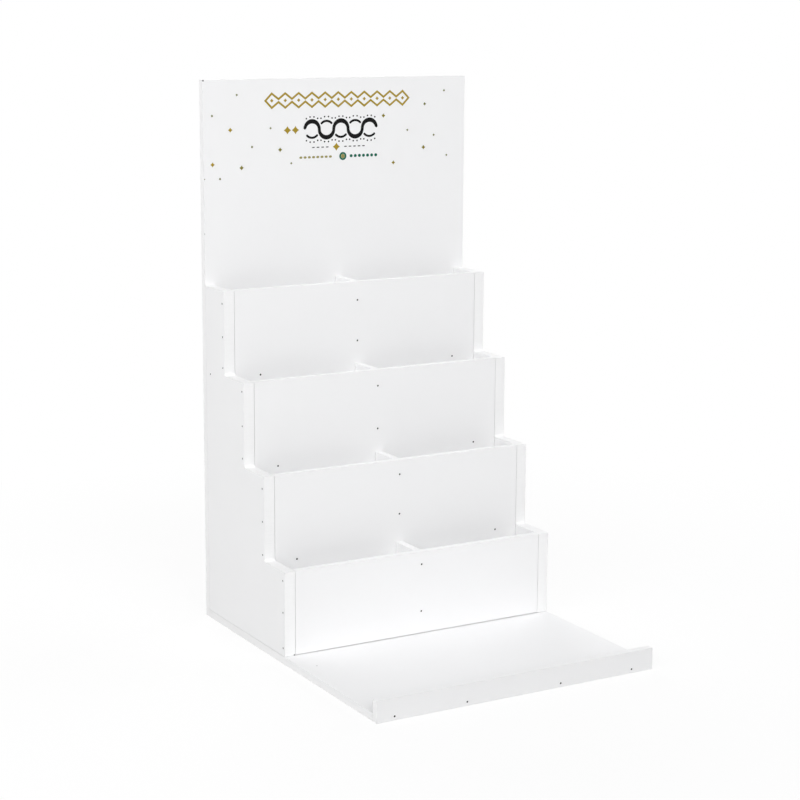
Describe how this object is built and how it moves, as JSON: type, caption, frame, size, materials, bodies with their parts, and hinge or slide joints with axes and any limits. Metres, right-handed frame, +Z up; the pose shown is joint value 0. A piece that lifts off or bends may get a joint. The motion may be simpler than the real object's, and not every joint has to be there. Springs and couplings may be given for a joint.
{
  "type": "stepped countertop display stand",
  "caption": "Countertop display stand of white boards: stepped tiers of divided card pockets, a tall header panel with plain ornaments, and a front deck that ends in a low lip.",
  "frame": {"origin": "on the surface that the stand rests on, under the middle of its outer box", "axes": "+Z up, the front with its pockets and lip looks along -Y, +X to the right seen from the front"},
  "size_m": [0.4, 0.478, 0.726],
  "materials": {
    "white_board": "matte",
    "nail_steel": "dark oxide",
    "print_gold": "satin film",
    "print_black": "matte film",
    "print_olive": "matte film",
    "print_green": "matte film"
  },
  "bodies": {
    "root": {"back_panel": "white_board", "base_board": "white_board", "front_lip": "white_board", "side_panel_left": "white_board", "side_panel_right": "white_board", "front_panel_1": "white_board", "front_panel_2": "white_board", "front_panel_3": "white_board", "front_panel_4": "white_board", "centre_divider_1": "white_board", "centre_divider_2": "white_board", "centre_divider_3": "white_board", "centre_divider_4": "white_board", "pocket_floor_1": "white_board", "pocket_floor_2": "white_board", "pocket_floor_3": "white_board", "side_nails_left": "nail_steel", "side_nails_right": "nail_steel", "front_nails": "nail_steel", "inner_nails": "nail_steel", "lip_nails": "nail_steel", "back_nails": "nail_steel", "base_nails": "nail_steel", "header_print_gold": "print_gold", "header_print_black": "print_black", "header_print_olive": "print_olive", "header_print_green": "print_green"}
  },
  "joints": []
}
